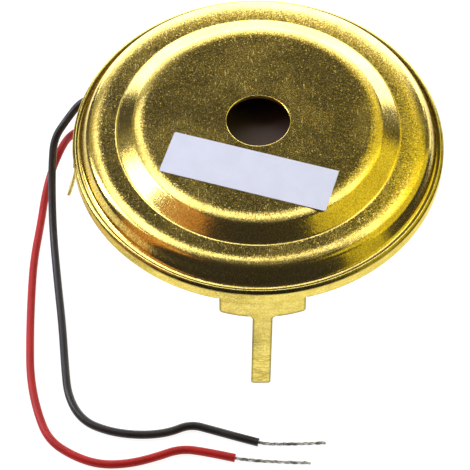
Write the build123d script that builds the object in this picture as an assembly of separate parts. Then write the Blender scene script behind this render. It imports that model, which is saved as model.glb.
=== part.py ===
from build123d import *
import math
import os

# Piezo buzzer: a two-step brass sound cover rolled into a brass mounting ring with three T-shaped
# tabs, a piezo disc clamped inside, two stranded leads and a blank paper label.
# Millimetres. The origin is on the disc's axis, on the surface that the tab tips stand on, +Z up,
# and the front tab is on -Y.

overrun = 2.0  # how far every cutting tool runs past what it cuts

# Mounting ring: one pressing, rolled over the cover at its top and turned in at its bottom
outer_diameter = 50.0
ring_sheet = 0.35
ring_height_above_tips = 14.5
lip_width = 0.75
lip_roll_radius = 0.45
bottom_bend_radius = 0.6
bottom_flange_width = 2.8

# T-shaped tabs, cut from the ring's bottom and bent down flush with its wall
tab_width = 11.1
tab_shoulder_drop = 2.6
tab_shoulder_rise = 0.65
pin_width = 2.45
tab_relief = 0.2
tab_bend_radius = 1.5
tab_corner_radius = 0.35
tab_inner_radius = 0.45
pin_tip_radius = 0.4
tab_angles = (-90.0, 170.8, 41.25)
tab_splays = (11.0, 8.2, 9.0)

# Sound cover: one pressed sheet with a shelf, a plateau and a plain round hole. Both levels fall gently
# along a crowned edge before their slopes
cover_sheet = 0.5
cover_flange_show = 0.3
shelf_rise = 2.4
shelf_slope = 62.0
shelf_edge_width = 1.58
shelf_edge_fall = 14.0
shelf_width = 2.35
plateau_rise = 1.6
plateau_slope = 30.0
plateau_edge_width = 1.16
plateau_edge_fall = 14.0
flange_foot_radius = 0.45
shelf_shoulder_share = 0.62
shelf_crown_share = 0.36
shelf_foot_radius = 1.0
plateau_shoulder_radius = 1.8
plateau_crown_share = 0.7
sound_hole_diameter = 8.4
sound_hole_edge_radius = 0.15

# Piezo stack between the cover's flange and the ring's bottom flange
stack_edge_clearance = 0.2
diaphragm_sheet = 0.25
spacer_thickness = 1.15
spacer_overhang = 0.2
ceramic_diameter = 25.0
ceramic_thickness = 0.25

# Solder joints: the black lead's in the middle of the bare brass round the ceramic, the red lead's on
# the ceramic, at a share of its radius
solder_base_radius = 1.3
solder_height = 0.95
soldered_length = 1.7
strand_drop = 0.6
black_joint_angle = 150.0
black_strand_fall = 20.5
red_joint_angle = 160.0
red_strand_fall = 1.6
red_joint_share = 0.7

# Blank label on the plateau
label_length = 22.5
label_width = 6.7
label_thickness = 0.1
label_corner_radius = 0.25
label_turn = -17.9
label_hole_gap = 0.9
label_shift = 1.25

# Leads: the route of each insulated lead, which starts at its soldered end, to its stripped outer end,
# then the route of the bare strands from there to their tip
lead_diameter = 1.1
strand_diameter = 0.5
arc_run_share = 0.45
black_route = (
    (-19.7, 10.6, 13.55),
    (-22.2, 11.2, 12.6),
    (-24.6, 11.0, 11.6),
    (-26.6, 9.5, 10.1),
    (-28.2, 7.3, 8.2),
    (-28.8, 4.5, 6.1),
    (-28.8, 0.9, 4.0),
    (-28.5, -4.5, 1.9),
    (-27.8, -11.7, 0.75),
    (-26.9, -18.9, 0.55),
    (-26.3, -25.2, 0.55),
    (-25.5, -30.0, 0.55),
    (-23.6, -33.8, 0.55),
    (-20.2, -35.4, 0.55),
    (-16.2, -35.9, 0.55),
    (-12.6, -35.5, 0.55),
    (-9.7, -34.3, 0.55),
    (-6.7, -35.3, 0.55),
    (-3.5, -36.3, 0.55),
    (-0.7, -37.2, 0.55),
)
black_strand_route = ((0.1, -37.45, 0.55), (3.3, -37.5, 0.4), (8.1, -37.4, 0.28))
red_route = (
    (-14.2, 4.8, 14.98),
    (-17.3, 5.65, 13.75),
    (-20.0, 6.4, 12.2),
    (-22.9, 7.3, 10.7),
    (-25.2, 8.0, 8.9),
    (-26.8, 8.4, 6.7),
    (-28.0, 8.1, 4.4),
    (-28.9, 6.3, 2.1),
    (-29.7, 3.0, 0.85),
    (-30.6, -1.8, 0.55),
    (-31.2, -8.1, 0.55),
    (-31.4, -14.6, 0.55),
    (-31.2, -21.1, 0.55),
    (-30.7, -27.1, 0.55),
    (-29.6, -32.3, 0.55),
    (-27.9, -36.4, 0.55),
    (-25.0, -38.9, 0.55),
    (-21.4, -40.2, 0.55),
    (-17.7, -40.2, 0.55),
    (-14.3, -39.2, 0.55),
    (-10.9, -38.0, 0.55),
    (-7.5, -38.4, 0.55),
    (-3.8, -39.4, 0.55),
)
red_strand_route = ((-2.9, -39.64, 0.55), (1.0, -40.1, 0.4), (6.0, -40.6, 0.28))

# Heights and radii that follow from the sizes above
outer_radius = outer_diameter / 2
lip_inner_radius = outer_radius - lip_width
stack_radius = outer_radius - ring_sheet - stack_edge_clearance
ring_flange_radius = outer_radius - bottom_flange_width
spacer_bottom = ring_height_above_tips + ring_sheet
diaphragm_bottom = spacer_bottom + spacer_thickness
flange_bottom = diaphragm_bottom + diaphragm_sheet
flange_top = flange_bottom + cover_sheet
ring_top = flange_top + ring_sheet
shelf_top = flange_top + shelf_rise
plateau_top = shelf_top + plateau_rise
ceramic_bottom = diaphragm_bottom - ceramic_thickness
sound_hole_radius = sound_hole_diameter / 2
spacer_inner_radius = ring_flange_radius + spacer_overhang
spacer_radius = outer_radius - max(ring_sheet + stack_edge_clearance, bottom_bend_radius)
ceramic_radius = ceramic_diameter / 2
black_joint_radius = (ceramic_radius + spacer_inner_radius) / 2
red_joint_radius = ceramic_radius * red_joint_share


def pressed_sheet(points, radii, thickness, side):
    """A round pressing: the sheet's shown line with its bends, thickened to one side and revolved."""
    line = FilletPolyline(*points, radius=radii)
    section = make_face(offset(line, amount=thickness, side=side))
    return revolve(Plane.XZ * section, axis=Axis.Z)


def washer(outer, inner, bottom, thickness):
    """A flat ring or disc on the axis, standing on the height bottom."""
    ring = Circle(outer) - Circle(inner) if inner else Circle(outer)
    return Pos(0, 0, bottom) * extrude(ring, amount=thickness)


def bend_radius(width, fall, turn, share):
    """The radius of a bend by the angle turn that takes up a share of the sloping edge beside it."""
    return share * width / math.cos(fall) / math.tan(turn / 2)


def sound_cover():
    """The two-step cover: plateau, slope, shelf, broad round shoulder and flange, with the sound hole."""
    shelf_fall = math.radians(shelf_edge_fall)
    plateau_fall = math.radians(plateau_edge_fall)
    shelf_drop = shelf_edge_width * math.tan(shelf_fall)
    plateau_drop = plateau_edge_width * math.tan(plateau_fall)
    flange_foot = lip_inner_radius - cover_flange_show
    shelf_steepness = math.radians(shelf_slope)
    shelf_shoulder = flange_foot - (shelf_rise - shelf_drop) / math.tan(shelf_steepness)
    shelf_crown = shelf_shoulder - shelf_edge_width
    shelf_foot = shelf_crown - shelf_width
    plateau_shoulder = shelf_foot - (plateau_rise - plateau_drop) / math.tan(math.radians(plateau_slope))
    plateau_crown = plateau_shoulder - plateau_edge_width
    points = (
        (sound_hole_radius, plateau_top),
        (plateau_crown, plateau_top),
        (plateau_shoulder, plateau_top - plateau_drop),
        (shelf_foot, shelf_top),
        (shelf_crown, shelf_top),
        (shelf_shoulder, shelf_top - shelf_drop),
        (flange_foot, flange_top),
        (stack_radius, flange_top),
    )
    radii = (
        bend_radius(plateau_edge_width, plateau_fall, plateau_fall, plateau_crown_share),
        plateau_shoulder_radius,
        shelf_foot_radius,
        bend_radius(shelf_edge_width, shelf_fall, shelf_fall, shelf_crown_share),
        bend_radius(shelf_edge_width, shelf_fall, shelf_steepness - shelf_fall, shelf_shoulder_share),
        flange_foot_radius,
    )
    cover = pressed_sheet(points, radii, cover_sheet, Side.RIGHT)
    hole_edge = cover.edges().filter_by(GeomType.CIRCLE).filter_by(
        lambda edge: abs(edge.radius - sound_hole_radius) < sound_hole_edge_radius
    ).sort_by(Axis.Z)[-1]
    return fillet(hole_edge, radius=sound_hole_edge_radius)


def tab_outline():
    """The tab's flat outline seen from outside: a wide root with a bowed lower edge, and its pin."""
    root_top = ring_height_above_tips + bottom_bend_radius
    shoulder = ring_height_above_tips - tab_shoulder_drop
    half_tab = tab_width / 2
    half_pin = pin_width / 2
    corner = shoulder + tab_shoulder_rise
    edge = Polyline((-half_tab, corner), (-half_tab, root_top), (half_tab, root_top), (half_tab, corner))
    bow = ThreePointArc((half_tab, corner), (0, shoulder), (-half_tab, corner))
    pin = Pos(0, root_top / 2) * Rectangle(pin_width, root_top)
    outline = make_face(Curve() + [edge, bow]) + pin

    def near(height, across):
        """The outline's corners at about that height and distance from the middle."""
        reach = tab_shoulder_rise / 2
        return outline.vertices().filter_by(
            lambda v: abs(abs(v.X) - across) < pin_width / 4 and abs(v.Y - height) < reach
        )

    outline = fillet(near(corner, half_tab), radius=tab_corner_radius)
    outline = fillet(near(shoulder, half_pin), radius=tab_inner_radius)
    return fillet(near(0, half_pin), radius=pin_tip_radius)


def mounting_tab(splay):
    """One tab along -Y: its outline cut through a band that leaves the wall and splays outwards."""
    slope = math.tan(math.radians(splay))
    root_top = ring_height_above_tips + bottom_bend_radius
    points = (
        (outer_radius, root_top),
        (outer_radius, ring_height_above_tips),
        (outer_radius + (ring_height_above_tips + overrun) * slope, -overrun),
    )
    band = pressed_sheet(points, (tab_bend_radius,), ring_sheet, Side.RIGHT)
    blank = Plane.XZ * extrude(tab_outline(), amount=outer_diameter)
    return band & blank


def mounting_ring():
    """The ring: rolled lip, wall and bottom flange, notched where the three tabs come out of it."""
    points = (
        (lip_inner_radius, ring_top),
        (outer_radius, ring_top),
        (outer_radius, ring_height_above_tips),
        (ring_flange_radius, ring_height_above_tips),
    )
    ring = pressed_sheet(points, (lip_roll_radius, bottom_bend_radius), ring_sheet, Side.RIGHT)
    notch_width = tab_width + 2 * tab_relief
    notch_depth = bottom_flange_width + 2 * overrun
    notch = Pos(0, -outer_radius - overrun, ring_height_above_tips - overrun) * Box(
        notch_width,
        notch_depth + overrun,
        bottom_bend_radius + overrun,
        align=(Align.CENTER, Align.MIN, Align.MIN),
    )
    for angle, splay in zip(tab_angles, tab_splays):
        turn = Rot(0, 0, angle - tab_angles[0])
        ring = ring - turn * notch + turn * mounting_tab(splay)
    return ring


def piezo_stack():
    """The diaphragm under the cover's flange, its ceramic, and the spacer that clamps it from below."""
    return {
        "diaphragm": washer(stack_radius, 0, diaphragm_bottom, diaphragm_sheet),
        "ceramic_disc": washer(ceramic_radius, 0, ceramic_bottom, ceramic_thickness),
        "spacer_ring": washer(spacer_radius, spacer_inner_radius, spacer_bottom, spacer_thickness),
    }


def blank_label():
    """The plain paper label, turned on the plateau and lying in front of the hole."""
    reach = sound_hole_radius + label_hole_gap + label_width / 2
    paper = RectangleRounded(label_length, label_width, label_corner_radius)
    flat = Pos(label_shift, -reach, plateau_top) * extrude(paper, amount=label_thickness)
    return Rot(0, 0, label_turn) * flat


def arc_radii(route):
    """The radius at each inner point of a route: as large as its two runs allow."""
    radii = []
    for before, here, after in zip(route, route[1:], route[2:]):
        run_in = Vector(here) - Vector(before)
        run_out = Vector(after) - Vector(here)
        half_turn = math.radians(run_in.get_angle(run_out)) / 2
        radii.append(arc_run_share * min(run_in.length, run_out.length) / math.tan(half_turn))
    return radii


def tube(name, route, diameter):
    """A round cord along a route of straight runs joined by tangent arcs."""
    radii = arc_radii(route)
    path = FilletPolyline(*route, radius=radii)
    section = Plane(origin=path @ 0, z_dir=path % 0) * Circle(diameter / 2)
    cord = sweep(section, path=path)
    wanted = path.length * math.pi * diameter**2 / 4
    print(name, "length", round(path.length, 1), "volume share", round(cord.volume / wanted, 4))
    print(name, "radii", [round(r, 1) for r in radii])
    return cord


def lead(colour, joint_radius, joint_angle, strand_fall, seat_height, route, strand_route):
    """One lead: the solder joint under the disc, the insulated tube from there, and its bare ends."""
    joint = Vector(joint_radius, 0, seat_height - strand_drop).rotate(Axis.Z, joint_angle)
    reach = Vector(route[0]) - joint
    fall = math.radians(strand_fall)
    away = Vector(reach.X, reach.Y, 0).normalized()
    heading = away * math.cos(fall) - Vector(0, 0, math.sin(fall))
    start = joint + heading * soldered_length
    inner = Plane(origin=joint, z_dir=heading) * Cylinder(
        strand_diameter / 2, soldered_length, align=(Align.CENTER, Align.CENTER, Align.MIN)
    )
    ball_radius = (solder_base_radius**2 + solder_height**2) / (2 * solder_height)
    ball_height = seat_height - solder_height + ball_radius
    block = Pos(joint.X, joint.Y, seat_height) * Box(
        4 * ball_radius, 4 * ball_radius, 2 * ball_radius, align=(Align.CENTER, Align.CENTER, Align.MAX)
    )
    dome = Pos(joint.X, joint.Y, ball_height) * Sphere(ball_radius) & block
    print(f"{colour}_lead", "start", [round(v, 3) for v in tuple(start)])
    return {
        f"{colour}_lead": tube(f"{colour}_lead", (start, *route), lead_diameter),
        f"{colour}_bare_end": tube(f"{colour}_bare_end", (route[-1], *strand_route), strand_diameter),
        f"{colour}_soldered_end": inner,
        f"{colour}_solder_joint": dome - inner,
    }


parts = {
    "sound_cover": sound_cover(),
    "mounting_ring": mounting_ring(),
    **piezo_stack(),
    "blank_label": blank_label(),
    **lead(
        "black",
        black_joint_radius,
        black_joint_angle,
        black_strand_fall,
        diaphragm_bottom,
        black_route,
        black_strand_route,
    ),
    **lead(
        "red",
        red_joint_radius,
        red_joint_angle,
        red_strand_fall,
        ceramic_bottom,
        red_route,
        red_strand_route,
    ),
}

os.makedirs("parts", exist_ok=True)
for node, solid in parts.items():
    export_step(solid, f"parts/{node}.step")
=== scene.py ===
import math

import bpy
import numpy as np
from mathutils import Matrix, Vector


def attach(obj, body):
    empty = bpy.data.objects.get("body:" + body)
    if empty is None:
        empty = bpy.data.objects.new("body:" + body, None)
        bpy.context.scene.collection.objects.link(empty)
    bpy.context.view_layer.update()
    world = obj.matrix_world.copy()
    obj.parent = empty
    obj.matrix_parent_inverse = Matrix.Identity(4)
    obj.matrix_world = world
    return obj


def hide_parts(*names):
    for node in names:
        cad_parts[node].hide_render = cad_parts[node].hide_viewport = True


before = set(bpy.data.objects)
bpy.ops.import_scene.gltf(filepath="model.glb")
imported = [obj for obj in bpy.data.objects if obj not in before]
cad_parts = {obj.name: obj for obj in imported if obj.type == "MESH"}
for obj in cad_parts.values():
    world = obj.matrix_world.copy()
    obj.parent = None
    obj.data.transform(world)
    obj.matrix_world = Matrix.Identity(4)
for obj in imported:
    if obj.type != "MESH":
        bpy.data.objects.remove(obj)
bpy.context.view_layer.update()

scene = bpy.context.scene
mm = 0.001  # the pieces' dictionaries give lengths in millimetres, the studio's gives them in metres
sharpAngle = 40  # edges that bend by more degrees than this are shaded as edges
tiny = 1e-6
print("frame loaded:", len(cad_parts), "nodes")


# Mesh helpers

def climb(value, start, end):
    # 0 at start, 1 at end and straight between them; start may be the larger of the two
    return np.clip((value - start) / (end - start), 0, 1)


def smoothClimb(value, start, end):
    # The same with level ends: t^2 (3 - 2 t)
    t = climb(value, start, end)
    return t**2 * (3 - 2 * t)


def unit(vectors):
    # Vectors along the last axis, brought to length 1
    return vectors / np.linalg.norm(vectors, axis=-1, keepdims=True)


def atIndex(rows, index):
    # Rows of an array at fractional indices
    return np.stack([np.interp(index, np.arange(len(rows)), column) for column in rows.T], 1)


def bentLine(points, radii, steps):
    # A line whose corners are arcs tangent to both legs: gives its points and their left-hand normals
    p = np.array(points, float)
    places, normals = [], []
    for k in range(len(p)):
        corner = 0 < k < len(p) - 1
        legIn = p[max(k, 1)] - p[max(k, 1) - 1]
        legOut = p[k + 1] - p[k] if corner else legIn
        heading = math.atan2(legIn[1], legIn[0])
        turn = (math.atan2(legOut[1], legOut[0]) - heading + math.pi) % (2 * math.pi) - math.pi
        radius = radii[k - 1] if corner else 0.0
        start = p[k] - unit(legIn) * radius * math.tan(abs(turn) / 2)
        swept = heading + turn * np.linspace(0, 1, steps if corner else 1)
        across = np.stack([-np.sin(swept), np.cos(swept)], 1)
        places.append(start + math.copysign(radius, turn) * (across[0] - across))
        normals.append(across)
    return np.concatenate(places), np.concatenate(normals)


def finer(places, normals, step):
    # Adds evenly spaced points on the stretches that are longer than step
    gap = np.hypot(*np.diff(places, axis=0).T)
    count = np.maximum(1, np.ceil(gap / step).astype(int))
    index = np.concatenate([k + np.arange(n) / n for k, n in enumerate(count)] + [[len(places) - 1.0]])
    return atIndex(places, index), unit(atIndex(normals, index))


def tubeFaces(rows, cols):
    # Faces of a grid whose last column joins its first
    r, c = np.meshgrid(np.arange(rows - 1), np.arange(cols), indexing="ij")
    d = (c + 1) % cols
    corners = [r * cols + c, r * cols + d, (r + 1) * cols + d, (r + 1) * cols + c]
    return np.stack(corners, -1).reshape(-1, 4)


def sheetFaces(keep, wrap):
    # Faces of a sheet with an outer and an inner grid of points: both skins of the kept faces, and a rim
    # wherever a kept face has no neighbour
    rows = keep.shape[0] + 1
    cols = keep.shape[1] + (0 if wrap else 1)
    o = lambda row, col: row * cols + col
    i = lambda row, col: rows * cols + row * cols + col
    r, c = np.nonzero(keep)
    d = (c + 1) % cols
    faces = [
        np.stack([o(r, c), o(r + 1, c), o(r + 1, d), o(r, d)], 1),
        np.stack([i(r, c), i(r, d), i(r + 1, d), i(r + 1, c)], 1),
    ]
    padded = np.zeros((keep.shape[0] + 2, keep.shape[1] + 2), bool)
    padded[1:-1, 1:-1] = keep
    if wrap:
        padded[1:-1, 0] = keep[:, -1]
        padded[1:-1, -1] = keep[:, 0]
    for neighbour, rim in (
        (padded[:-2, 1:-1], lambda r, c, d: (o(r, c), o(r, d), i(r, d), i(r, c))),
        (padded[2:, 1:-1], lambda r, c, d: (o(r + 1, d), o(r + 1, c), i(r + 1, c), i(r + 1, d))),
        (padded[1:-1, :-2], lambda r, c, d: (o(r + 1, c), o(r, c), i(r, c), i(r + 1, c))),
        (padded[1:-1, 2:], lambda r, c, d: (o(r, d), o(r + 1, d), i(r + 1, d), i(r, d))),
    ):
        r, c = np.nonzero(keep & ~neighbour)
        faces.append(np.stack(rim(r, c, (c + 1) % cols), 1))
    return np.concatenate(faces)


def makePiece(name, verts, faces, material, node, slot, marks=None):
    # Puts whole arrays into a mesh, without the points that no face uses, and rides it on the root in place
    # of a solid; marks are named values per point for the material
    used, index = np.unique(faces, return_inverse=True)
    mesh = bpy.data.meshes.new(name)
    mesh.from_pydata(verts[used].tolist(), [], index.reshape(faces.shape).tolist())
    mesh.polygons.foreach_set("use_smooth", np.ones(len(mesh.polygons), bool))
    mesh.set_sharp_from_angle(angle=math.radians(sharpAngle))
    mesh.materials.append(material)
    for mark, values in (marks or {}).items():
        attribute = mesh.attributes.new(mark, "FLOAT", "POINT")
        attribute.data.foreach_set("value", values[used].astype(np.float32))
    piece = bpy.data.objects.new(name, mesh)
    scene.collection.objects.link(piece)
    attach(piece, "root")
    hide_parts(node)
    print("piece", name, len(mesh.polygons), "faces")
    return piece


# Shader helpers

def feed(tree, node, values):
    # Sets a node's inputs by name or number, or links them where the value is another node's socket
    for key, value in values.items():
        if isinstance(value, bpy.types.NodeSocket):
            tree.links.new(value, node.inputs[key])
        else:
            node.inputs[key].default_value = value


def put(tree, kind, values=None, **settings):
    # Adds a node with its properties and inputs
    node = tree.nodes.new(kind)
    for key, value in settings.items():
        setattr(node, key, value)
    feed(tree, node, values or {})
    return node


def number(tree, how, a, b=0.0, clamp=False):
    return put(tree, "ShaderNodeMath", {0: a, 1: b}, operation=how, use_clamp=clamp).outputs[0]


def vector(tree, how, a, b=(0, 0, 0), c=(0, 0, 0)):
    return put(tree, "ShaderNodeVectorMath", {0: a, 1: b, 2: c}, operation=how).outputs[0]


def scaled(tree, a, factor):
    return put(tree, "ShaderNodeVectorMath", {0: a, "Scale": factor}, operation="SCALE").outputs[0]


def ramp(tree, value, low, high, outLow=0.0, outHigh=1.0):
    # A smooth step from outLow to outHigh as value goes from low to high
    values = {0: value, 1: low, 2: high, 3: outLow, 4: outHigh}
    return put(tree, "ShaderNodeMapRange", values, interpolation_type="SMOOTHSTEP").outputs[0]


def mixColour(tree, share, a, b):
    return put(tree, "ShaderNodeMix", {0: share, 6: a, 7: b}, data_type="RGBA").outputs[2]


def noise(tree, place, scale, detail, roughness=0.5, distortion=0.0):
    # A cloudy value about 0.5, with scale as many clouds to the metre
    return put(tree, "ShaderNodeTexNoise", {
        "Vector": place, "Scale": scale, "Detail": detail, "Roughness": roughness, "Distortion": distortion,
    }).outputs[0]


def bumpNormal(tree, strength, distance, height, **extra):
    values = {"Strength": strength, "Distance": distance, "Height": height, **extra}
    return put(tree, "ShaderNodeBump", values).outputs[0]


def levelOf(tree, place):
    return put(tree, "ShaderNodeSeparateXYZ", {0: place}).outputs[2]


def axisDistance(tree, place, shift=0.0):
    # The length of (x + shift, y)
    flattened = vector(tree, "MULTIPLY_ADD", place, (1, 1, 0), (shift, 0, 0))
    return put(tree, "ShaderNodeVectorMath", {0: flattened}, operation="LENGTH").outputs["Value"]


def newMaterial(name):
    material = bpy.data.materials.new(name)
    material.use_nodes = True
    tree = material.node_tree
    place = tree.nodes.new("ShaderNodeTexCoord").outputs["Object"]
    return material, tree, tree.nodes["Principled BSDF"], place


def newGroup(name, numbers, outputs):
    # A shader node group that takes a place and named numbers, and puts out named values
    group = bpy.data.node_groups.new(name, "ShaderNodeTree")
    group.interface.new_socket("Place", in_out="INPUT", socket_type="NodeSocketVector")
    for label, value in numbers.items():
        socket = group.interface.new_socket(label, in_out="INPUT", socket_type="NodeSocketFloat")
        socket.default_value = value
    for label, kind in outputs.items():
        group.interface.new_socket(label, in_out="OUTPUT", socket_type=kind)
    return group, group.nodes.new("NodeGroupInput").outputs, group.nodes.new("NodeGroupOutput")


def placeGroup(tree, group, values):
    return put(tree, "ShaderNodeGroup", values, node_tree=group).outputs


# Finishes that several materials share

finishes = {
    "grain": {
        "fineDetail": 2.0, "fineRoughness": 0.55, "pitDetail": 3.0, "pitRoughness": 0.6,
        "fineHeight": 0.75, "pitHeight": 0.25, "facetDark": 0.6, "fineDark": 0.8, "darkSpan": (0.45, 0.95),
    },
    "tarnish": {
        "patchDetail": 4.0, "patchRoughness": 0.55, "patchDistortion": 0.6, "patchSpan": (0.36, 0.66),
        "spotDetail": 3.0, "spotRoughness": 0.6, "spotSpan": (0.60, 0.74),
    },
    "scuffs": {"detail": 2.0, "span": (0.62, 0.74)},
    "creases": {"detail": 2.0, "level": 0.5},
}


def pressedGrain(s):
    # The orange-peel skin of pressed sheet: a height, a mask of dark speckles, and a normal for each small
    # facet. A facet leans by its random share times (2 share)^6, so most lean little and a few lean far
    group, given, made = newGroup(
        "pressedGrain",
        {"Grain Size": 0.3 * mm, "Pit Size": 1.2 * mm, "Facet Size": 0.25 * mm, "Facet Tilt": 0.15},
        {"Height": "NodeSocketFloat", "Speckle": "NodeSocketFloat", "Normal": "NodeSocketVector"},
    )
    place = given["Place"]
    fineScale, pitScale, facetScale = (
        number(group, "DIVIDE", 1.0, given[size]) for size in ("Grain Size", "Pit Size", "Facet Size")
    )
    fine = noise(group, place, fineScale, s["fineDetail"], s["fineRoughness"])
    pits = noise(group, place, pitScale, s["pitDetail"], s["pitRoughness"])
    pitHeight = number(group, "MULTIPLY", pits, s["pitHeight"])
    height = number(group, "ADD", number(group, "MULTIPLY", fine, s["fineHeight"]), pitHeight)
    facets = put(group, "ShaderNodeTexVoronoi", {"Vector": place, "Scale": facetScale}, feature="F1")
    colour = facets.outputs["Color"]
    single = put(group, "ShaderNodeSeparateColor", {0: colour}).outputs[2]
    fineDark = number(group, "MULTIPLY", fine, s["fineDark"])
    dark = number(group, "ADD", number(group, "MULTIPLY", single, s["facetDark"]), fineDark)
    share = vector(group, "SUBTRACT", colour, (0.5, 0.5, 0.5))
    doubled = scaled(group, share, 2.0)
    squared = vector(group, "MULTIPLY", doubled, doubled)
    fourth = vector(group, "MULTIPLY", squared, squared)
    sixth = vector(group, "MULTIPLY", fourth, squared)
    leaning = scaled(group, vector(group, "MULTIPLY", share, sixth), given["Facet Tilt"])
    faceNormal = put(group, "ShaderNodeNewGeometry").outputs["Normal"]
    normal = vector(group, "NORMALIZE", vector(group, "ADD", faceNormal, leaning))
    feed(group, made, {"Height": height, "Speckle": ramp(group, dark, *s["darkSpan"]), "Normal": normal})
    return group


def tarnish(s):
    # Broad cloudy patches and small spots
    group, given, made = newGroup(
        "tarnish",
        {"Patch Size": 6.0 * mm, "Spot Size": 1.2 * mm},
        {"Patches": "NodeSocketFloat", "Spots": "NodeSocketFloat"},
    )
    patchScale = number(group, "DIVIDE", 1.0, given["Patch Size"])
    spotScale = number(group, "DIVIDE", 1.0, given["Spot Size"])
    patches = noise(
        group, given["Place"], patchScale, s["patchDetail"], s["patchRoughness"], s["patchDistortion"],
    )
    spots = noise(group, given["Place"], spotScale, s["spotDetail"], s["spotRoughness"])
    feed(group, made, {
        "Patches": ramp(group, patches, *s["patchSpan"]), "Spots": ramp(group, spots, *s["spotSpan"]),
    })
    return group


def scuffs(s):
    # Fine scratches, drawn out by whatever stretch the given place has
    group, given, made = newGroup(
        "scuffs", {"Width": 0.2 * mm, "Amount": 0.5}, {"Scratch": "NodeSocketFloat"},
    )
    lines = noise(group, given["Place"], number(group, "DIVIDE", 1.0, given["Width"]), s["detail"])
    scratch = number(group, "MULTIPLY", ramp(group, lines, *s["span"]), given["Amount"])
    feed(group, made, {"Scratch": scratch})
    return group


def creases(s):
    # Thin wavering lines along the middle level of a noise
    group, given, made = newGroup("creases", {"Size": 1.6 * mm, "Width": 0.03}, {"Line": "NodeSocketFloat"})
    swell = noise(group, given["Place"], number(group, "DIVIDE", 1.0, given["Size"]), s["detail"])
    offLevel = number(group, "ABSOLUTE", number(group, "SUBTRACT", swell, s["level"]))
    feed(group, made, {"Line": ramp(group, offLevel, 0.0, given["Width"], 1.0, 0.0)})
    return group


grainGroup = pressedGrain(finishes["grain"])
tarnishGroup = tarnish(finishes["tarnish"])
scuffGroup = scuffs(finishes["scuffs"])
creaseGroup = creases(finishes["creases"])


def cloudyMaterial(name, look):
    # A plain finish: two colours in cloudy patches, and a roughness, where the look has one, that follows the
    # spots or the patches
    material, tree, shader, place = newMaterial(name)
    clouds = placeGroup(tree, tarnishGroup, {
        "Place": place, "Patch Size": look["patch"] * mm, "Spot Size": look["spot"] * mm,
    })
    base = mixColour(tree, clouds["Patches"], look["colour"], look["shade"])
    feed(tree, shader, {"Base Color": base, "Metallic": look.get("metal", 0.0)})
    if "rough" in look:
        rough = ramp(tree, clouds[look.get("roughBy", "Spots")], 0, 1, *look["rough"])
        feed(tree, shader, {"Roughness": rough})
    return material, tree, shader, place, clouds, base


print("finishes ready")


# Camera, in the photograph's place

view = {
    "place": (-5.48, -155.44, 216.75),
    "azimuth": 0.86,
    "down": 55.06,
    "roll": -0.217,
    "lens": 143.91,
    "sensor": 36.0,
    "clip": (10.0, 10000.0),
}
azimuth, down, roll = (math.radians(view[k]) for k in ("azimuth", "down", "roll"))
ahead = Vector((math.sin(azimuth) * math.cos(down), math.cos(azimuth) * math.cos(down), -math.sin(down)))
sideways = ahead.cross(Vector((0, 0, 1))).normalized()
upward = sideways.cross(ahead)
cameraX = math.cos(roll) * sideways + math.sin(roll) * upward
cameraY = math.cos(roll) * upward - math.sin(roll) * sideways
turned = Matrix((cameraX, cameraY, -ahead)).transposed().to_4x4()
camera = bpy.data.objects.new("camera", bpy.data.cameras.new("camera"))
camera.data.lens = view["lens"]
camera.data.sensor_width = view["sensor"]
camera.data.clip_start, camera.data.clip_end = (v * mm for v in view["clip"])
camera.matrix_world = Matrix.Translation(Vector(view["place"]) * mm) @ turned
scene.collection.objects.link(camera)
scene.camera = camera
print("camera set")


# Leads: limp vinyl-covered leads from the solder joints to their stripped ends

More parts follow.
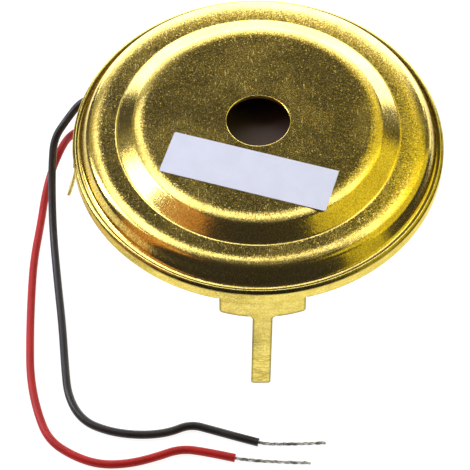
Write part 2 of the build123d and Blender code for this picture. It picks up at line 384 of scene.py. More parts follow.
leads = {
    "diameter": 1.1,
    "bevelSteps": 6,
    "splineSteps": 10,
    "black": {
        "joint": (-15.112, 8.725, 15.4),
        "length": 82.2,
        "route": [
            (-16.586, 9.327, 14.805), (-19.7, 10.6, 13.55), (-22.2, 11.2, 12.6), (-24.6, 11.0, 11.6),
            (-26.42, 9.31, 10.1), (-28.41, 7.36, 8.2), (-28.75, 4.52, 6.1), (-28.82, 0.89, 4.0),
            (-28.61, -4.5, 1.9), (-27.85, -11.7, 0.75), (-26.94, -18.91, 0.55), (-26.38, -25.22, 0.55),
            (-25.81, -30.14, 0.55), (-23.76, -33.84, 0.55), (-20.19, -35.49, 0.55), (-16.21, -36.11, 0.55),
            (-12.51, -35.82, 0.55), (-9.62, -34.56, 0.55), (-6.75, -35.49, 0.55), (-3.56, -36.56, 0.55),
            (-0.76, -37.44, 0.55),
        ],
        "strands": [(-0.76, -37.44, 0.55), (0.1, -37.68, 0.55), (3.3, -37.7, 0.4), (8.1, -37.5, 0.28)],
        "vinyl": {
            "colour": (0.020, 0.018, 0.016, 1), "shade": (0.036, 0.032, 0.029, 1),
            "patch": 4.0, "spot": 0.6, "rough": (0.36, 0.56),
        },
    },
    "red": {
        "joint": (-8.222, 2.993, 15.15),
        "length": 94.9,
        "route": [
            (-9.849, 3.484, 15.103), (-14.2, 4.8, 14.98), (-17.3, 5.65, 13.75), (-20.0, 6.4, 12.2),
            (-22.9, 7.3, 10.7), (-25.2, 8.0, 8.9), (-26.75, 8.38, 6.7), (-27.9, 8.03, 4.4),
            (-29.18, 6.34, 2.1), (-30.08, 3.13, 0.85), (-30.54, -1.81, 0.55), (-31.28, -8.08, 0.55),
            (-31.36, -14.58, 0.55), (-31.24, -21.11, 0.55), (-30.93, -27.12, 0.55), (-29.78, -32.39, 0.55),
            (-28.14, -36.53, 0.55), (-24.99, -38.91, 0.55), (-21.44, -40.32, 0.55), (-17.66, -40.26, 0.55),
            (-14.25, -39.39, 0.55), (-10.91, -38.16, 0.55), (-7.54, -38.72, 0.55), (-3.85, -39.67, 0.55),
        ],
        "strands": [(-3.85, -39.67, 0.55), (-2.95, -39.9, 0.55), (1.0, -40.25, 0.4), (6.0, -40.45, 0.29)],
        "vinyl": {
            "colour": (0.51, 0.014, 0.010, 1), "shade": (0.43, 0.010, 0.007, 1),
            "patch": 4.0, "spot": 0.6, "rough": (0.46, 0.66),
        },
    },
    "ripple": {"scale": 900.0, "detail": 3.0, "strength": 0.25, "depth": 0.12, "ior": 1.4},
}
strands = {
    "count": 3, "radius": 0.125, "reach": 0.125, "lay": 3.0, "sides": 10,
    "wander": ((0.25, 3.1), (0.15, 9.0)),  # heights and paces of two slow waves
    "wanderPhase": 6.0, "wanderTurn": 0.1, "wanderOut": 0.2, "closeness": 0.86,
    "swell": 0.06, "swellPace": 17.0, "endShares": (0.02, 0.8, 0.02),
    "bareRows": 90, "bareSeed": 3, "jointRows": 24, "jointSeed": 5,
    "tin": {
        "colour": (0.78, 0.77, 0.75, 1), "shade": (0.18, 0.175, 0.17, 1), "metal": 1.0,
        "patch": 0.9, "spot": 0.3, "rough": (0.28, 0.45), "roughBy": "Patches",
    },
}


def routeCurve(name, points):
    # A smooth open spline with the route's points as its control points
    curve = bpy.data.curves.new(name, "CURVE")
    curve.dimensions = "3D"
    spline = curve.splines.new("NURBS")
    spline.points.add(len(points) - 1)
    weighted = np.column_stack([np.array(points) * mm, np.ones(len(points))])
    spline.points.foreach_set("co", weighted.ravel())
    spline.order_u = 3
    spline.use_endpoint_u = True
    spline.resolution_u = leads["splineSteps"]
    return bpy.data.objects.new(name, curve)


def splinePoints(points, count):
    # Points at even distances along the route's own spline, and those distances
    guide = routeCurve("guide", points)
    mesh = bpy.data.meshes.new_from_object(guide)
    co = np.zeros(len(mesh.vertices) * 3)
    mesh.vertices.foreach_get("co", co)
    co = co.reshape(-1, 3)
    curve = guide.data
    bpy.data.objects.remove(guide)
    bpy.data.curves.remove(curve)
    bpy.data.meshes.remove(mesh)
    run = np.concatenate([[0], np.cumsum(np.linalg.norm(np.diff(co, axis=0), axis=1))])
    at = np.linspace(0, run[-1], count)
    return np.stack([np.interp(at, run, co[:, k]) for k in range(3)], 1), at


def twistedStrands(s, path, run, seed):
    # Strands wound round a path: each centre is path + out (cos u N + sin u B), with u one turn for every lay
    # plus a slow wander, and each skin is centre + thick (cos v N + sin v B), drawn to a point at its ends
    tangent = unit(np.gradient(path, axis=0))
    side = unit(np.cross(tangent, (0.0, 0.0, 1.0)))
    lift = np.cross(side, tangent)
    turns = run / (s["lay"] * mm)
    v = np.linspace(0, 2 * np.pi, s["sides"], endpoint=False)[:, None]
    rng = np.random.default_rng(seed)
    verts, faces = [], []
    for k in range(s["count"]):
        wander = sum(
            height * np.sin(turns * pace + rng.uniform(0, s["wanderPhase"])) for height, pace in s["wander"]
        )
        u = 2 * np.pi * (turns + k / s["count"] + s["wanderTurn"] * wander)[:, None]
        out = s["reach"] * mm * (s["closeness"] + s["wanderOut"] * wander)[:, None]
        centre = path + out * (np.cos(u) * side + np.sin(u) * lift)
        thick = s["radius"] * mm * (1 + s["swell"] * np.sin(turns * s["swellPace"] + k))
        thick[[0, -2, -1]] *= s["endShares"]
        around = np.cos(v) * side[:, None] + np.sin(v) * lift[:, None]
        verts.append((centre[:, None] + thick[:, None, None] * around).reshape(-1, 3))
        faces.append(tubeFaces(len(path), s["sides"]) + k * len(path) * s["sides"])
    return np.concatenate(verts), np.concatenate(faces)


def vinylMaterial(name, look, ripple):
    # Soft vinyl: cloudy colour, dull dusty spots and fine ripples
    material, tree, shader, place, _, _ = cloudyMaterial(name, look)
    waves = noise(tree, place, ripple["scale"], ripple["detail"])
    normal = bumpNormal(tree, ripple["strength"], ripple["depth"] * mm, waves)
    feed(tree, shader, {"Normal": normal, "IOR": ripple["ior"]})
    return material


tinned = cloudyMaterial("tinnedStrand", strands["tin"])[0]
for colour in ("black", "red"):
    lead = leads[colour]
    bareRoute = splinePoints(lead["strands"], strands["bareRows"])
    bareEnd = makePiece(
        f"{colour}_strands", *twistedStrands(strands, *bareRoute, strands["bareSeed"]),
        tinned, f"{colour}_bare_end", "tinned_strands",
    )
    share = np.linspace(0, 1, strands["jointRows"])[:, None]
    inner = (np.array(lead["joint"]) * (1 - share) + np.array(lead["route"][0]) * share) * mm
    innerRun = share[:, 0] * np.linalg.norm(inner[-1] - inner[0])
    makePiece(
        f"{colour}_soldered_strands", *twistedStrands(strands, inner, innerRun, strands["jointSeed"]),
        tinned, f"{colour}_soldered_end", "tinned_strands",
    )
    cord = routeCurve(f"{colour}_cord", lead["route"])
    cord.data.bevel_depth = leads["diameter"] / 2 * mm
    cord.data.bevel_resolution = leads["bevelSteps"]
    cord.data.use_fill_caps = True
    cord.data.materials.append(vinylMaterial(f"{colour}Vinyl", lead["vinyl"], leads["ripple"]))
    scene.collection.objects.link(cord)
    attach(cord, "root")
    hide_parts(f"{colour}_lead")
print("leads laid")


# Brass

def gapShadowed(tree, place, base, look):
    # Painted shadow: the sheet is darkened beyond a radius, in the gap where it runs in under the lip
    radius = axisDistance(tree, place, look["grooveShift"] * mm)
    return mixColour(tree, ramp(tree, radius, *(v * mm for v in look["groove"])), base, look["gapShadow"])


def cavityShaded(tree, place, base, look, shader):
    # Painted shade: the face above a height lies in the cavity under the sound hole and is darkened and made
    # not metallic
    cavityShade = ramp(tree, levelOf(tree, place), *(v * mm for v in look["cavityShadeLevels"]))
    feed(tree, shader, {"Metallic": number(tree, "SUBTRACT", 1.0, cavityShade)})
    return mixColour(tree, cavityShade, base, look["cavityShade"])


def creased(tree, place, base, look):
    # Dark wavering scratches, most of them below a height
    drawn = put(tree, "ShaderNodeMapping", {"Vector": place, "Scale": look["creaseStretch"]}).outputs[0]
    crease = placeGroup(tree, creaseGroup, {
        "Place": drawn, "Size": look["creaseSize"] * mm, "Width": look["creaseWidth"],
    })["Line"]
    levels = (v * mm for v in look["creaseLevels"])
    share = ramp(tree, levelOf(tree, place), *levels, *look["creaseShares"])
    return mixColour(tree, number(tree, "MULTIPLY", crease, share), base, look["crease"])


def rollReflection(tree, place, base, look, patches):
    # Painted reflection: the roll's outside is darkened for the dark it would mirror, and marked edges go
    # dull and dark
    beyond = ramp(tree, axisDistance(tree, place), *(v * mm for v in look["rollReflectionFrom"]))
    above = ramp(tree, levelOf(tree, place), *(v * mm for v in look["rollReflectionAbove"]))
    rolled = number(tree, "MULTIPLY", beyond, above)
    rolled = number(tree, "MULTIPLY", rolled, ramp(tree, patches, 0, 1, *look["rollReflectionShares"]))
    base = mixColour(tree, rolled, base, look["rollReflection"])
    # the edge mark: sheared edges, and a painted shade of the gap at the lip's edge
    dullEdgesAndGapShade = put(tree, "ShaderNodeAttribute", attribute_name="cut").outputs["Fac"]
    return mixColour(tree, dullEdgesAndGapShade, base, look["cut"])


def brassMaterial(name, look):
    # Pressed brass: warm metal with an orange-peel grain, cloudy tarnish and fine scratches, and where the
    # look has them a painted shadow in the lip's gap, painted shade in the cavity, creases, a painted dark
    # reflection and dull edges
    material, tree, shader, place = newMaterial(name)
    feed(tree, shader, {"Metallic": 1.0, "Specular Tint": look.get("grazing", (1, 1, 1, 1))})
    tilt, speckle = look["tilt"], look["speckle"]
    if "calm" in look:  # the grain is smoother where the sheet was drawn into a slope
        flatness = put(tree, "ShaderNodeAttribute", attribute_name="flat").outputs["Fac"]
        tilt = ramp(tree, flatness, 0, 1, tilt * look["calm"][0], tilt)
        speckle = ramp(tree, flatness, 0, 1, speckle * look["calm"][1], speckle)
    grain = placeGroup(tree, grainGroup, {
        "Place": place, "Grain Size": look["grain"] * mm, "Pit Size": look["pit"] * mm,
        "Facet Size": look["facet"] * mm, "Facet Tilt": tilt,
    })
    clouds = placeGroup(tree, tarnishGroup, {
        "Place": place, "Patch Size": look["patch"] * mm, "Spot Size": look["spot"] * mm,
    })
    stretched = put(tree, "ShaderNodeMapping", {
        "Vector": place, "Rotation": (0, 0, look["turn"]), "Scale": look["stretch"],
    }).outputs[0]
    scratch = placeGroup(tree, scuffGroup, {
        "Place": stretched, "Width": look["scuffWidth"] * mm, "Amount": look["scuffs"],
    })["Scratch"]

    base = mixColour(tree, clouds["Patches"], look["bright"], look["dull"])
    base = mixColour(tree, number(tree, "MULTIPLY", clouds["Spots"], look["spotting"]), base, look["brown"])
    base = mixColour(tree, number(tree, "MULTIPLY", grain["Speckle"], speckle), base, look["shadow"])
    if "scratch" in look:  # bare bright scratches
        base = mixColour(tree, scratch, base, look["scratch"])
    # painted shadow in the gap under the lip
    if "gapShadow" in look:
        base = gapShadowed(tree, place, base, look)
    # painted shade in the cavity under the sound hole
    if "cavityShade" in look:
        base = cavityShaded(tree, place, base, look, shader)
    if "crease" in look:
        base = creased(tree, place, base, look)
    # a painted dark reflection on the roll, then the dull dark edges
    if "rollReflection" in look:
        base = rollReflection(tree, place, base, look, clouds["Patches"])

    rough = ramp(tree, clouds["Patches"], 0, 1, *look["rough"])
    rough = number(tree, "ADD", rough, number(tree, "MULTIPLY", scratch, look["scuffRough"]), True)
    height = number(tree, "ADD", grain["Height"], number(tree, "MULTIPLY", scratch, look["scuffDepth"]))
    normal = bumpNormal(tree, look["grainStrength"], look["grainDepth"] * mm, height, Normal=grain["Normal"])
    feed(tree, shader, {"Base Color": base, "Roughness": rough, "Normal": normal})
    return material


# Sound cover: a pressed sheet revolved about the axis

sound = {
    "line": [
        (4.2, 20.25), (4.2, 20.75), (15.523, 20.75), (16.683, 20.461), (18.953, 19.15), (21.45, 19.15),
        (22.96, 18.75), (23.98, 16.83), (24.45, 16.75),
    ],
    "radii": [0.15, 6.82, 1.8, 1.0, 6.0, 1.5, 0.5],
    "sheet": 0.5, "columns": 360, "arcSteps": 10, "step": 0.5,
    "bowGrows": (18.95, 22.6), "bowFades": (23.95, 22.8), "bowWidth": 3.0, "lean": (1.9, 4.0, 50.0),
    "shiftGrows": (19.5, 22.0), "shiftFades": (24.45, 23.95), "shift": 0.28, "shiftWay": 85.0,
    "waveGrows": (4.0, 16.0), "waveFades": (23.4, 21.4),
    "waves": ((3, 0.010, 0.4), (5, 0.006, 2.1), (8, 0.004, 4.0)),  # count, height and phase of each
    "flatFrom": (0.982, 0.996),  # upward share of the normal from slope to flat
    "look": {
        "grain": 0.22, "pit": 0.9, "grainDepth": 0.012, "grainStrength": 0.25,
        "facet": 0.13, "tilt": 0.19, "speckle": 0.78, "calm": (0.45, 0.6),
        "patch": 7.0, "spot": 0.5, "spotting": 0.25, "rough": (0.17, 0.22),
        "stretch": (1.0, 0.14, 1.0), "turn": 0.7, "scuffWidth": 0.2, "scuffs": 0.5, "scuffDepth": 0.15,
        "scuffRough": 0.15,
        "bright": (0.92, 0.70, 0.165, 1), "dull": (0.78, 0.575, 0.125, 1), "brown": (0.55, 0.38, 0.08, 1),
        "shadow": (0.22, 0.16, 0.034, 1), "scratch": (0.98, 0.82, 0.34, 1),
        # the groove's colour is a painted shadow in the gap under the ring's lip
        "groove": (24.17, 24.22), "grooveShift": 0.07, "gapShadow": (0.12, 0.085, 0.03, 1),
    },
}


def soundCover(s):
    # z(r, a) = pressed line + small waves h sin(n a + phase) that grow with r and fade at the rim - the
    # shelf's bow, a smooth climb over r times tan(mean + swing cos(a - towards)). The outer shoulder also
    # sits shift cos(a - way) off centre. Gives the points, the faces and a mark: 1 on flats, 0 on slopes
    line, across = finer(*bentLine(s["line"], s["radii"], s["arcSteps"]), s["step"])
    under = line - s["sheet"] * across
    hole = line[:, 0] < s["line"][0][0] + s["radii"][0] + tiny
    under[hole, 0] = line[hole, 0]  # the hole's wall is upright, down to the sheet's underside
    under[hole, 1] = s["line"][0][1]
    line, across, under = line[1:], across[1:], under[1:]
    r = line[:, :1]
    a = np.linspace(0, 2 * np.pi, s["columns"], endpoint=False)

    wave = sum(h * np.sin(n * a + phase) for n, h, phase in s["waves"])
    wave = wave * climb(r, *s["waveGrows"]) * climb(r, *s["waveFades"])
    mean, swing, towards = np.radians(s["lean"])
    bow = s["bowWidth"] * smoothClimb(r, *s["bowGrows"]) * smoothClimb(r, *s["bowFades"])
    lift = wave - bow * np.tan(mean + swing * np.cos(a - towards))
    shoulder = climb(r, *s["shiftGrows"]) * climb(r, *s["shiftFades"])
    out = shoulder * s["shift"] * np.cos(a - math.radians(s["shiftWay"]))

    def revolved(p):
        reach = p[:, :1] + out
        return np.stack([reach * np.cos(a), reach * np.sin(a), p[:, 1:] + lift], -1).reshape(-1, 3)

    verts = np.concatenate([revolved(line), revolved(under)]) * mm
    keep = np.ones((len(line) - 1, len(a)), bool)
    flat = np.repeat(climb(across[:, 1], *s["flatFrom"]), len(a))
    return verts, sheetFaces(keep, True), np.tile(flat, 2)


coverBrass = brassMaterial("coverBrass", sound["look"])
coverVerts, coverFaces, coverFlat = soundCover(sound)
makePiece(
    "stepped_cover", coverVerts, coverFaces, coverBrass, "sound_cover", "cover_brass", {"flat": coverFlat},
)


# Mounting ring with its T-shaped tabs

ring = {
    "radius": 25.0, "sheet": 0.35, "top": 17.1, "bottom": 14.5,
    "lipEdge": 24.36, "lipDip": 0.15, "lipRoll": 0.5, "edgeRound": 0.06, "bend": 0.6, "flangeEdge": 22.2,
    "angles": (-90.0, 41.25, 170.5), "splays": (12.2, 9.0, 5.5), "sways": (-0.2, 0.1, 0.0),
    "kicks": (0.0, 0.0, 0.87), "kickFrom": 7.0,  # how far each tip is bent out, below a height
    "halfTab": 5.55, "relief": 0.2, "shoulderDrop": 2.32, "shoulderRise": 0.37, "halfPin": 1.28,
    "cornerRound": 0.35, "innerRound": 0.45, "tipRound": 0.32, "bendBlend": 0.28,
    "rollSteps": 12, "wallStep": 0.25, "bendSteps": 10, "flangeStep": 0.4, "lowerRows": 16, "pinRows": 26,
    "cornerColumns": 7, "wingColumns": 12, "pinColumns": 25, "wallColumns": 96,
    # the lip's edge band is darkened: its sheared edge, and a painted shade of the gap
    "cutBand": 0.3, "lipEdgeShadeBand": (0.14, 0.08), "lipEdgeShadeMost": 0.9,
    "bendDark": (0.12, 0.32), "bendDarkFrom": (24.0, 24.3), "bendDarkMost": 0.8,
    "look": {
        "grain": 0.22, "pit": 1.0, "grainDepth": 0.02, "grainStrength": 0.3,
        "facet": 0.2, "tilt": 0.10, "speckle": 0.4,
        "patch": 1.8, "spot": 0.35, "spotting": 0.7, "rough": (0.2, 0.25),
        "stretch": (1.0, 1.0, 0.12), "turn": 0.0, "scuffWidth": 0.3, "scuffs": 0.6, "scuffDepth": 0.3,
        "scuffRough": 0.15,
        "bright": (0.93, 0.76, 0.205, 1), "dull": (0.82, 0.66, 0.15, 1), "brown": (0.52, 0.38, 0.08, 1),
        "shadow": (0.50, 0.38, 0.09, 1), "grazing": (1, 0.92, 0.5, 1),
        "crease": (0.34, 0.24, 0.05, 1), "creaseSize": 1.7, "creaseWidth": 0.05,
        "creaseStretch": (0.45, 0.45, 1.7), "creaseLevels": (3.5, 6.5), "creaseShares": (0.62, 0.22),
        # a painted dark reflection on the outside of the roll
        "rollReflection": (0.30, 0.22, 0.06, 1), "rollReflectionFrom": (24.56, 24.66), "rollReflectionAbove": (16.4, 16.6),
        # the edge colour: dull sheared edges, painted shade of the gap at the lip's edge, and a darker bend
        "rollReflectionShares": (0.9, 0.65), "cut": (0.16, 0.122, 0.03, 1),
    },
}


def ringSheet(s):
    # Rows run from the lip's edge over the roll and down the wall. Below the wall the columns of a tab run on
    # down its root and pin, all other columns turn in along the bottom flange, and the slits beside a tab
    # stay open. Gives the points, the faces and a mark of dull dark edges: 1 at the sheared edges, also a
    # painted shade of the gap at the lip's edge, and darker at the outside of the bottom bend
    rootTop = s["bottom"] + s["bend"]
    lipUnder = s["top"] - s["sheet"]
    lipFace = s["top"] - s["lipDip"]
    wall, wallAcross = finer(*bentLine(
        [(s["lipEdge"], lipUnder), (s["lipEdge"], lipFace), (s["radius"], s["top"]), (s["radius"], rootTop)],
        [s["edgeRound"], s["lipRoll"]], s["rollSteps"]), s["wallStep"])
    wall, wallAcross = wall[1:], wallAcross[1:]
    flange, flangeAcross = finer(*bentLine(
        [(s["radius"], rootTop), (s["radius"], s["bottom"]), (s["flangeEdge"], s["bottom"])],
        [s["bend"]], s["bendSteps"]), s["flangeStep"])
    even = np.linspace(0, len(flange) - 1, s["lowerRows"])[1:]
    flange, flangeAcross = atIndex(flange, even), atIndex(flangeAcross, even)

    # each column's angle, place across its tab and tab number, which is -1 between the tabs
    flare = s["halfPin"] + s["innerRound"]
    quarter = np.linspace(0, np.pi / 2, s["cornerColumns"])
    rounding = s["halfTab"] - s["cornerRound"] * (1 - np.sin(quarter))
    wing = np.concatenate([np.linspace(flare, rounding[0], s["wingColumns"])[:-1], rounding])
    middle = flare * np.sin(np.linspace(-np.pi / 2, np.pi / 2, s["pinColumns"]))
    tabX = np.concatenate([-wing[::-1], middle[1:-1], wing])
    slit = math.asin((s["halfTab"] + s["relief"]) / s["radius"])
    tabAngles = np.radians(s["angles"])
    nextAngles = np.append(tabAngles[1:], tabAngles[0] + 2 * np.pi)
    angle, across, owner = [], [], []
    for k in range(len(tabAngles)):
        between = np.linspace(tabAngles[k] + slit, nextAngles[k] - slit, s["wallColumns"])
        angle += [tabAngles[k] + np.arcsin(tabX / s["radius"]), between]
        across += [tabX, np.zeros(len(between))]
        owner += [np.full(len(tabX), k), np.full(len(between), -1)]
    angle, across, owner = (np.concatenate(v) for v in (angle, across, owner))
    isTab = owner >= 0
    isPin = isTab & (np.abs(across) <= flare + tiny)
    tab = np.maximum(owner, 0)

    # the root's lower edge, a shallow bow with rounded corners, and the pin below it
    bow = (s["halfTab"] ** 2 + s["shoulderRise"] ** 2) / (2 * s["shoulderRise"])
    edge = s["bottom"] - s["shoulderDrop"] + bow - np.sqrt(bow**2 - across**2)
    past = np.clip(np.abs(across) - (s["halfTab"] - s["cornerRound"]), 0, s["cornerRound"])
    edge = edge + s["cornerRound"] - np.sqrt(np.maximum(s["cornerRound"] ** 2 - past**2, 0))
    rootZ = rootTop + np.linspace(0, 1, s["lowerRows"])[1:, None] * (edge - rootTop)
    pinShare = ((1 - np.cos(np.pi * np.linspace(0, 1, s["pinRows"])[1:])) / 2)[:, None]
    pinAcross = np.where(np.abs(across) <= flare + tiny, across, 0.0)
    pinCorner = np.abs(pinAcross) * s["halfPin"] / flare - (s["halfPin"] - s["tipRound"])
    pinCorner = np.clip(pinCorner, 0, s["tipRound"])
    tipZ = s["tipRound"] - np.sqrt(np.maximum(s["tipRound"] ** 2 - pinCorner**2, 0))
    pinZ = edge + pinShare * (tipZ - edge)
    below = np.clip(s["innerRound"] - (edge - pinZ), 0, s["innerRound"])
    half = s["halfPin"] + s["innerRound"] - np.sqrt(s["innerRound"] ** 2 - below**2)
    pinX = pinAcross * half / flare
    pinAway = np.minimum(half - np.abs(pinX), pinZ - tipZ)
    pinX = pinX + pinShare * np.array(s["sways"])[tab]

    # radius of a tab at a height: the wall, a short blend, then the splayed cone, kicked out near a bent tip
    kick = np.array(s["kicks"])[tab]
    slope = np.tan(np.radians(s["splays"]))[tab]
    centre = tabAngles[tab]
    blend = s["bendBlend"]

    def tabPoints(x, z):
        d = np.clip(s["bottom"] + blend / 2 - z, 0, None)
        nearTip = np.clip(1 - z / s["kickFrom"], 0, 1)
        r = s["radius"] + slope * np.where(d < blend, d**2 / (2 * blend), d - blend / 2) + kick * nearTip**2
        lean = slope * np.clip(d / blend, 0, 1) + 2 * kick * nearTip / s["kickFrom"]
        turn = centre + np.arctan2(x, np.sqrt(r**2 - x**2))
        place = np.stack([r * np.cos(turn), r * np.sin(turn), z], -1)
        return place, unit(np.stack([np.cos(turn), np.sin(turn), lean], -1))

    def revolved(p):
        level = np.repeat(p[:, 1:], len(angle), 1)
        return np.stack([p[:, :1] * np.cos(angle), p[:, :1] * np.sin(angle), level], -1)

    wallPlace, flangePlace = revolved(wall), revolved(flange)
    wallInner = wallPlace - s["sheet"] * revolved(unit(wallAcross))
    lipRows = np.arange(len(wall)) < len(wall) // 2
    upright = lipRows & (wall[:, 0] < s["lipEdge"] + s["edgeRound"] + tiny)
    wallInner[wall[:, 0] < s["radius"] - s["lipRoll"], :, 2] = lipUnder  # the lip is flat underneath
    wallInner[upright, :, :2] = wallPlace[upright, :, :2]  # and its edge is upright
    rootPlace, rootNormal = tabPoints(np.broadcast_to(across, rootZ.shape), rootZ)
    pinPlace, pinNormal = tabPoints(pinX, pinZ)
    lowerPlace = np.where(isTab[:, None], rootPlace, flangePlace)
    lowerNormal = np.where(isTab[:, None], rootNormal, revolved(unit(flangeAcross)))
    lowerInner = lowerPlace - s["sheet"] * lowerNormal
    outer = np.concatenate([wallPlace, lowerPlace, pinPlace])
    inner = np.concatenate([wallInner, lowerInner, pinPlace - s["sheet"] * pinNormal])
    inner[..., 2] = np.maximum(inner[..., 2], 0)  # the tips are cut level

    # how near a point is to a sheared edge, to the lip's edge, where a painted shade of the gap also goes,
    # or to the outside of the bottom bend, which is made darker
    lipEdgeAndGapShade = climb(wall[:, :1], *(s["lipEdge"] + v for v in s["lipEdgeShadeBand"])) * lipRows[:, None]
    bendDark = np.minimum(climb(-flangeAcross[:, 1:], *s["bendDark"]), s["bendDarkMost"])
    bendDark = bendDark * climb(flange[:, :1], *s["bendDarkFrom"])
    edgeAway = np.where(np.abs(across) > flare, rootZ - edge, s["halfTab"])
    rootAway = np.minimum(s["halfTab"] - np.abs(across), edgeAway)
    cut = np.concatenate([
        np.repeat(np.minimum(lipEdgeAndGapShade, s["lipEdgeShadeMost"]), len(angle), 1),
        np.where(isTab, climb(rootAway, s["cutBand"], 0), bendDark),
        climb(pinAway, s["cutBand"], 0),
    ]).ravel()

    joined = owner == np.roll(owner, -1)
    keep = np.ones((len(outer) - 1, len(angle)), bool)
    keep[len(wall) - 1:] = joined
    keep[len(wall) + len(flange) - 1:] = joined & isPin & np.roll(isPin, -1)
    verts = np.concatenate([outer.reshape(-1, 3), inner.reshape(-1, 3)]) * mm
    return verts, sheetFaces(keep, True), np.concatenate([cut, np.zeros_like(cut)])


ringBrass = brassMaterial("ringBrass", ring["look"])
ringVerts, ringFaces, ringDullEdgesAndShade = ringSheet(ring)
makePiece("tabbed_ring", ringVerts, ringFaces, ringBrass, "mounting_ring", "ring_brass", {"cut": ringDullEdgesAndShade})


# Blank label: a flat paper rectangle with rounded corners

label = {
    "length": 22.5, "width": 6.7, "thickness": 0.1, "corner": 0.25,
    "turn": -17.9, "shift": 1.25, "reach": 8.45, "seat": 20.75,
    "columns": 80, "rows": 40, "cornerColumns": 6,
    "look": {
        "colour": (0.71, 0.75, 0.92, 1), "shade": (0.68, 0.72, 0.89, 1), "patch": 3.0, "spot": 0.5,
        "speck": (0.55, 0.55, 0.62, 1), "specks": 0.12,
        "fibreScale": 2600.0, "fibreDetail": 4.0, "fibreSpan": (0.3, 0.7), "fibreRough": (0.42, 0.55),
        "fibreDepth": 0.02, "fibreStrength": 0.2,
    },
}


def paperLabel(s):
    # A grid over the rectangle whose columns end on the corner arcs, moved out and turned about the axis
    def spread(half, count):
        quarter = np.linspace(0, np.pi / 2, s["cornerColumns"])
        ends = half - s["corner"] * (1 - np.sin(quarter))
        return np.concatenate([-ends[::-1][:-1], np.linspace(-ends[0], ends[0], count), ends[1:]])

    x, y = np.meshgrid(spread(s["length"] / 2, s["columns"]), spread(s["width"] / 2, s["rows"]))
    past = np.clip(np.abs(x) - (s["length"] / 2 - s["corner"]), 0, s["corner"])
    half = s["width"] / 2 - s["corner"] + np.sqrt(np.maximum(s["corner"] ** 2 - past**2, 0))
    y = y * half / (s["width"] / 2) - s["reach"]
    x = x + s["shift"]
    turn = math.radians(s["turn"])
    place = [x * math.cos(turn) - y * math.sin(turn), x * math.sin(turn) + y * math.cos(turn)]
    levels = (s["seat"] + s["thickness"], s["seat"])
    skins = [np.stack([*place, np.full_like(x, level)], -1).reshape(-1, 3) for level in levels]
    keep = np.ones((x.shape[0] - 1, x.shape[1] - 1), bool)
    return np.concatenate(skins) * mm, sheetFaces(keep, False)[:, ::-1]


def paperMaterial(look):
    # Smooth coated paper: cool white, faintly cloudy, with small grey specks and fine fibres
    material, tree, shader, place, clouds, base = cloudyMaterial("labelPaper", look)
    base = mixColour(tree, number(tree, "MULTIPLY", clouds["Spots"], look["specks"]), base, look["speck"])
    fibre = noise(tree, place, look["fibreScale"], look["fibreDetail"])
    rough = ramp(tree, fibre, *look["fibreSpan"], *look["fibreRough"])
    normal = bumpNormal(tree, look["fibreStrength"], look["fibreDepth"] * mm, fibre)
    feed(tree, shader, {"Base Color": base, "Roughness": rough, "Normal": normal})
    return material


makePiece("paper_label", *paperLabel(label), paperMaterial(label["look"]), "blank_label", "label_paper")


# Piezo stack and solder under the disc

disc = {
    "brass": {
        "grain": 0.18, "pit": 0.8, "grainDepth": 0.012, "grainStrength": 0.3,
        "facet": 0.2, "tilt": 0.09, "speckle": 0.3,
        "patch": 8.0, "spot": 0.8, "spotting": 0.35, "rough": (0.30, 0.35),
        "stretch": (1.0, 0.06, 1.0), "turn": 0.0, "scuffWidth": 0.25, "scuffs": 0.25, "scuffDepth": 0.1,
        "scuffRough": 0.15,
        "bright": (0.84, 0.67, 0.24, 1), "dull": (0.77, 0.60, 0.19, 1), "brown": (0.52, 0.38, 0.13, 1),
        # the dark colour above a height is painted shade in the cavity under the sound hole
        "shadow": (0.50, 0.38, 0.12, 1), "cavityShade": (0.12, 0.082, 0.058, 1), "cavityShadeLevels": (16.07, 16.17),
    },
    "silver": {
        "colour": (0.72, 0.71, 0.68, 1), "shade": (0.60, 0.58, 0.54, 1), "metal": 0.85,
        "patch": 5.0, "spot": 0.8, "rough": (0.42, 0.6), "bare": (0.74, 0.68, 0.55, 1),
        "bareFrom": (11.45, 11.55), "grain": 0.2, "pit": 1.0, "grainDepth": 0.01, "grainStrength": 0.3,
    },
    "spacer": {
        "colour": (0.70, 0.67, 0.58, 1), "shade": (0.64, 0.61, 0.52, 1),
        "patch": 4.0, "spot": 0.7, "rough": (0.45, 0.6),
    },
}
solder = {
    "radius": 1.3, "height": 0.95, "columns": 48, "rows": 20, "seats": {"black": 16.0, "red": 15.75},
    "spread": 0.95, "power": 0.7, "tipShare": 1e-4, "phases": {"black": 0.5, "red": 1.5},
    "waves": ((2, 0.03, 1), (5, 0.02, 2)),  # count, height and multiple of the phase for each
    "look": {
        "colour": (0.74, 0.74, 0.73, 1), "shade": (0.52, 0.51, 0.49, 1), "metal": 1.0,
        "patch": 1.2, "spot": 0.4, "rough": (0.18, 0.4),
        "grain": 0.3, "pit": 0.9, "grainDepth": 0.03, "grainStrength": 0.4,
    },
}


def grainNormal(tree, place, look):
    grain = placeGroup(tree, grainGroup, {
        "Place": place, "Grain Size": look["grain"] * mm, "Pit Size": look["pit"] * mm,
    })
    return bumpNormal(tree, look["grainStrength"], look["grainDepth"] * mm, grain["Height"])


def silverMaterial(look):
    # Fired silver on ceramic: a soft grey metal disc inside a bare cream margin
    material, tree, shader, place, _, silver = cloudyMaterial("silveredCeramic", look)
    bare = ramp(tree, axisDistance(tree, place), *(v * mm for v in look["bareFrom"]))
    feed(tree, shader, {
        "Base Color": mixColour(tree, bare, silver, look["bare"]),
        "Metallic": number(tree, "SUBTRACT", look["metal"], number(tree, "MULTIPLY", bare, look["metal"])),
        "Normal": grainNormal(tree, place, look),
    })
    return material


def solderMaterial(look):
    # Bright solder, duller in patches
    material, tree, shader, place, _, _ = cloudyMaterial("brightSolder", look)
    feed(tree, shader, {"Normal": grainNormal(tree, place, look)})
    return material


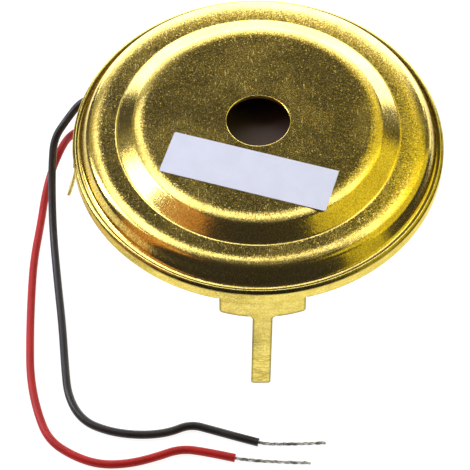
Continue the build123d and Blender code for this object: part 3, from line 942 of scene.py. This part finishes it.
def solderDome(s, joint, seat, phase):
    # A dome that hangs from its seat: height (1 - q^2)^power with q the share of a slightly wavy base radius
    q = np.sin(np.linspace(0, np.pi / 2, s["rows"]))[:, None]
    a = np.linspace(0, 2 * np.pi, s["columns"], endpoint=False)
    wavy = 1 + sum(h * np.sin(n * a + times * phase) for n, h, times in s["waves"])
    depth = s["height"] * (1 - q**2) ** s["power"] * np.ones_like(a)
    reach = np.maximum(q, s["tipShare"]) * s["radius"] * s["spread"] * wavy
    dome = np.stack([joint[0] + reach * np.cos(a), joint[1] + reach * np.sin(a), seat - depth], -1)
    return dome.reshape(-1, 3) * mm, tubeFaces(s["rows"], s["columns"])


for node, material in {
    "diaphragm": brassMaterial("discBrass", disc["brass"]),
    "ceramic_disc": silverMaterial(disc["silver"]),
    "spacer_ring": cloudyMaterial("spacerPlastic", disc["spacer"])[0],
}.items():
    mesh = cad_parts[node].data
    mesh.materials.clear()
    mesh.materials.append(material)
brightSolder = solderMaterial(solder["look"])
for colour in ("black", "red"):
    dome = solderDome(solder, leads[colour]["joint"], solder["seats"][colour], solder["phases"][colour])
    makePiece(f"{colour}_solder", *dome, brightSolder, f"{colour}_solder_joint", "solder")
print("disc and solder dressed")


# Floor, light and air

coolWhite, warmWhite, straw = (0.95, 0.98, 1.15), (1, 0.95, 0.8), (1, 0.94, 0.5)
paleGold, gold, deepGold, orange = (1, 0.92, 0.5), (1, 0.92, 0.09), (1, 0.92, 0.04), (1, 0.46, 0.15)
studio = {
    "floor": {
        "back": 1.5, "front": 0.06, "left": 0.10, "right": 0.07, "grey": (0.25, 0.25, 0.25, 1), "rough": 0.9,
        "glow": 0.92, "backGlow": 2.2, "glowFrom": (0.02, 0.09),
    },
    "aim": 0.018,  # height of the part that the lights face
    "lights": (
        # name, azimuth and elevation of its middle seen from the part, distance, width, height, brightness
        # and colour
        ("overhead", 90, 72, 0.7, 0.72, 0.16, 2.2, coolWhite),
        ("overheadLeft", 129, 60, 0.6, 0.17, 0.20, 2.2, coolWhite),
        ("backdropLow", 86, 8, 0.6, 0.92, 0.38, 4.5, coolWhite),
        ("backdropHigh", 90, 29, 0.6, 0.56, 0.14, 1.8, coolWhite),
        ("backdropTop", 78, 38, 0.6, 0.36, 0.10, 0.75, paleGold),
        ("leftEdge", 119.5, 46.5, 0.6, 0.10, 0.14, 2.0, coolWhite),
        ("gapFill", 104, 53, 0.62, 0.30, 0.30, 0.025, warmWhite),
        ("leftGap", 134, 36, 0.6, 0.24, 0.26, 0.31, straw),
        ("leftBox", 166, 34, 0.5, 0.15, 0.36, 9.0, coolWhite),
        ("orangeCard", 201, 25, 0.5, 0.19, 0.76, 0.62, orange),
        ("orangeTop", 172, 65, 0.5, 0.30, 0.09, 0.6, orange),
        ("sideLow", 38, -2, 0.6, 0.22, 0.20, 1.9, coolWhite),
        ("goldBack", 45, 50, 0.6, 0.34, 0.26, 0.82, deepGold),
        ("goldSide", 4, 38, 0.6, 0.56, 0.62, 0.88, gold),
        ("goldFront", 328, 10, 0.6, 0.26, 0.44, 0.62, deepGold),
    ),
    "air": (0.042, 0.041, 0.066, 1),
}


def softBox(name, azimuth, elevation, distance, width, height, brightness, colour):
    # A soft rectangular light that faces the part; power = brightness x pi x area
    a, e = math.radians(azimuth), math.radians(elevation)
    outward = Vector((math.cos(a) * math.cos(e), math.sin(a) * math.cos(e), math.sin(e)))
    light = bpy.data.lights.new(name, "AREA")
    light.shape = "RECTANGLE"
    light.size = width
    light.size_y = height
    light.energy = brightness * math.pi * width * height
    light.color = colour
    box = bpy.data.objects.new(name, light)
    box.visible_camera = False
    middle = outward * distance + Vector((0, 0, studio["aim"]))
    box.matrix_world = Matrix.Translation(middle) @ outward.to_track_quat("Z", "Y").to_matrix().to_4x4()
    scene.collection.objects.link(box)


def paleFloor(s):
    # White paper that glows as if lit from below, more so at the back
    mesh = bpy.data.meshes.new("floor")
    corners = [
        (-s["left"], -s["front"], 0), (s["right"], -s["front"], 0), (s["right"], s["back"], 0),
        (-s["left"], s["back"], 0),
    ]
    mesh.from_pydata(corners, [], [(0, 1, 2, 3)])
    floor = bpy.data.objects.new("floor", mesh)
    scene.collection.objects.link(floor)
    material, tree, shader, place = newMaterial("paleFloor")
    depth = put(tree, "ShaderNodeSeparateXYZ", {0: place}).outputs[1]
    feed(tree, shader, {
        "Base Color": s["grey"], "Roughness": s["rough"], "Emission Color": (1, 1, 1, 1),
        "Emission Strength": ramp(tree, depth, *s["glowFrom"], s["glow"], s["backGlow"]),
    })
    mesh.materials.append(material)


def studioAir(colour):
    # Dim air that the part reflects, and plain white where the camera looks past it
    world = bpy.data.worlds.new("studioAir")
    world.use_nodes = True
    scene.world = world
    tree = world.node_tree
    air = tree.nodes["Background"]
    feed(tree, air, {"Color": colour})
    white = put(tree, "ShaderNodeBackground", {"Color": (1, 1, 1, 1)})
    seen = put(tree, "ShaderNodeLightPath").outputs["Is Camera Ray"]
    mixed = put(tree, "ShaderNodeMixShader", {0: seen, 1: air.outputs[0], 2: white.outputs[0]})
    feed(tree, tree.nodes["World Output"], {"Surface": mixed.outputs[0]})


for light in studio["lights"]:
    softBox(*light)
paleFloor(studio["floor"])
studioAir(studio["air"])
scene.view_settings.view_transform = "Standard"
print("studio set")
